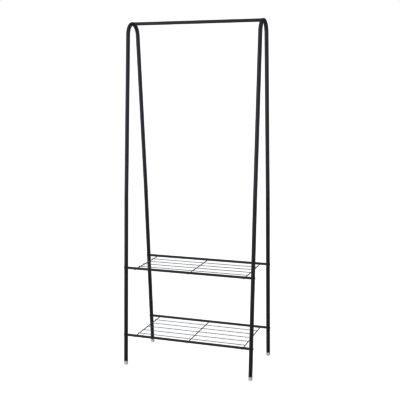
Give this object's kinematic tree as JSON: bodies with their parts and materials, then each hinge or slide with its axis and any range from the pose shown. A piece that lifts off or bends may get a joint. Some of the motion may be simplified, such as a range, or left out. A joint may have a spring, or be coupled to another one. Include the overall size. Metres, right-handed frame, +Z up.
{
  "type": "garment rail",
  "caption": "Free-standing clothes rail: two narrow A-frames of black coated tube, a hanging rail between their crowns, and two open wire shelves near the floor.",
  "frame": {"origin": "on the floor, at the centre of the four feet", "axes": "+Z up; X along the hanging rail; +Y to the rear, so -Y is the front"},
  "size_m": [0.6198, 0.3396, 1.552],
  "materials": {
    "powder_coat_upper": "satin black powder coat, slightly bluish",
    "powder_coat_lower": "satin black powder coat",
    "wire_coat": "satin black powder coat over welded wire",
    "grey_wire_coat": "satin grey coat over welded wire",
    "black_screw": "black zinc",
    "zinc_insert": "bright zinc",
    "foot_plastic": "translucent grey moulded plastic"
  },
  "bodies": {
    "root": {"frame_tube_left": "powder_coat_upper", "frame_tube_right": "powder_coat_upper", "lower_leg_left_front": "powder_coat_lower", "lower_leg_left_rear": "powder_coat_lower", "lower_leg_right_front": "powder_coat_lower", "lower_leg_right_rear": "powder_coat_lower", "foot_plug_left_front": "foot_plastic", "foot_plug_left_rear": "foot_plastic", "foot_plug_right_front": "foot_plastic", "foot_plug_right_rear": "foot_plastic", "top_rail": "powder_coat_upper", "top_rail_insert_left": "zinc_insert", "top_rail_insert_right": "zinc_insert", "top_rail_screw_left": "black_screw", "top_rail_screw_right": "black_screw", "upper_shelf_rail_front": "powder_coat_lower", "upper_shelf_rail_rear": "powder_coat_lower", "upper_shelf_insert_left_front": "zinc_insert", "upper_shelf_insert_left_rear": "zinc_insert", "upper_shelf_insert_right_front": "zinc_insert", "upper_shelf_insert_right_rear": "zinc_insert", "upper_shelf_screw_left_front": "black_screw", "upper_shelf_screw_left_rear": "black_screw", "upper_shelf_screw_right_front": "black_screw", "upper_shelf_screw_right_rear": "black_screw", "upper_shelf_cross_wire_left": "wire_coat", "upper_shelf_cross_wire_middle": "wire_coat", "upper_shelf_cross_wire_right": "wire_coat", "upper_shelf_long_wire_1": "grey_wire_coat", "upper_shelf_long_wire_2": "grey_wire_coat", "upper_shelf_long_wire_3": "grey_wire_coat", "upper_shelf_long_wire_4": "grey_wire_coat", "lower_shelf_rail_front": "powder_coat_lower", "lower_shelf_rail_rear": "powder_coat_lower", "lower_shelf_insert_left_front": "zinc_insert", "lower_shelf_insert_left_rear": "zinc_insert", "lower_shelf_insert_right_front": "zinc_insert", "lower_shelf_insert_right_rear": "zinc_insert", "lower_shelf_screw_left_front": "black_screw", "lower_shelf_screw_left_rear": "black_screw", "lower_shelf_screw_right_front": "black_screw", "lower_shelf_screw_right_rear": "black_screw", "lower_shelf_cross_wire_left": "wire_coat", "lower_shelf_cross_wire_middle": "wire_coat", "lower_shelf_cross_wire_right": "wire_coat", "lower_shelf_long_wire_1": "grey_wire_coat", "lower_shelf_long_wire_2": "grey_wire_coat", "lower_shelf_long_wire_3": "grey_wire_coat", "lower_shelf_long_wire_4": "grey_wire_coat", "lower_shelf_long_wire_5": "grey_wire_coat"}
  },
  "joints": []
}
